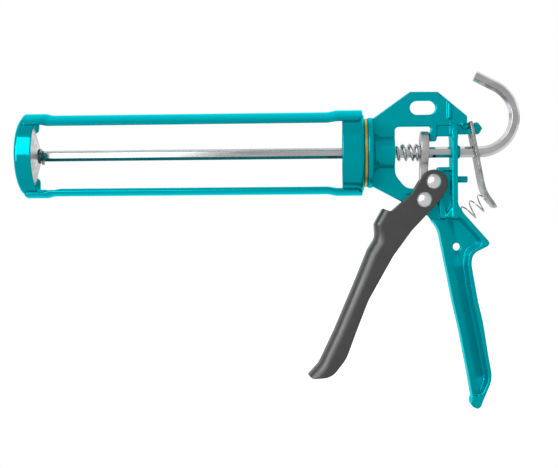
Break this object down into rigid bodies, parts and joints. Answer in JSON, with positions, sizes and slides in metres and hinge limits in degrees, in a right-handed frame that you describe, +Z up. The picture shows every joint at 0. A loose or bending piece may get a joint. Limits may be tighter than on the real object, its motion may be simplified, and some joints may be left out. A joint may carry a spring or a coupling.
{
  "type": "caulking gun",
  "caption": "Hand caulking gun with an open turning cradle for a sealant cartridge, a hooked hexagonal push rod, a die-cast grip and a channel trigger.",
  "frame": {"origin": "the front face of the grip frame's flange, on the push rod's axis", "axes": "+X along the push rod towards the hook, so the nozzle end points to -X; +Z up, so the handle hangs to -Z; Y across the tool, with the casting symmetric about Y = 0"},
  "size_m": [0.3282, 0.0532, 0.2195],
  "materials": {
    "cast_enamel": "gloss teal enamel on a die casting",
    "sheet_enamel": "gloss teal enamel on pressed sheet",
    "black_enamel": "satin black enamel",
    "plated_rod": "bright plated, drawn",
    "zinc_steel": "bright zinc plate",
    "cut_steel": "zinc plate with a sheared grainy edge",
    "rivet_steel": "bright polished dome",
    "spring_steel": "bright drawn wire",
    "golden_washer": "dull golden"
  },
  "bodies": {
    "frame": {"grip_frame": "cast_enamel", "bearing_washer": "golden_washer", "inner_washer": "zinc_steel", "neck_ring": "spring_steel", "drive_spring": "spring_steel", "release_spring": "spring_steel"},
    "cradle": {"rear_collar": "sheet_enamel", "front_cup": "sheet_enamel", "strap_top": "sheet_enamel", "strap_bottom": "sheet_enamel"},
    "rod": {"push_rod": "plated_rod", "pressure_disc": "zinc_steel", "plunger_cone": "zinc_steel", "plunger_nut": "zinc_steel", "lock_washer": "spring_steel", "plunger_pin": "spring_steel"},
    "plate": {"drive_plate": "cut_steel"},
    "trigger": {"trigger": "black_enamel", "pivot_rivet": "rivet_steel", "pusher_rivet": "rivet_steel"},
    "lever": {"release_lever": "cut_steel"}
  },
  "joints": [
    {"name": "cradle_turn", "type": "hinge", "parent": "frame", "child": "cradle", "pos_m": [0, 0, 0], "axis": [1, 0, 0], "continuous": true},
    {"name": "rod_slide", "type": "slide", "parent": "frame", "child": "rod", "axis": [1, 0, 0], "range_m": [0, 0.2]},
    {"name": "trigger_pull", "type": "hinge", "parent": "frame", "child": "trigger", "pos_m": [0.0367, 0, -0.0312], "axis": [0, -1, 0], "range_deg": [0, 32], "stiffness_Nm_per_rad": 0.25, "springref_deg": -22.92},
    {"name": "drive_stroke", "type": "slide", "parent": "frame", "child": "plate", "axis": [-1, 0, 0], "range_m": [0, 0.0072], "deforming": ["drive_spring"]},
    {"name": "lever_press", "type": "hinge", "parent": "frame", "child": "lever", "pos_m": [0.067, 0, 0.0172], "axis": [0, 1, 0], "range_deg": [0, 10.8], "stiffness_Nm_per_rad": 0.15, "springref_deg": -17.19, "deforming": ["release_spring"]}
  ],
  "couplings": [
    {"joint": "drive_stroke", "follows": "trigger_pull", "m_per_rad": 0.01289}
  ]
}
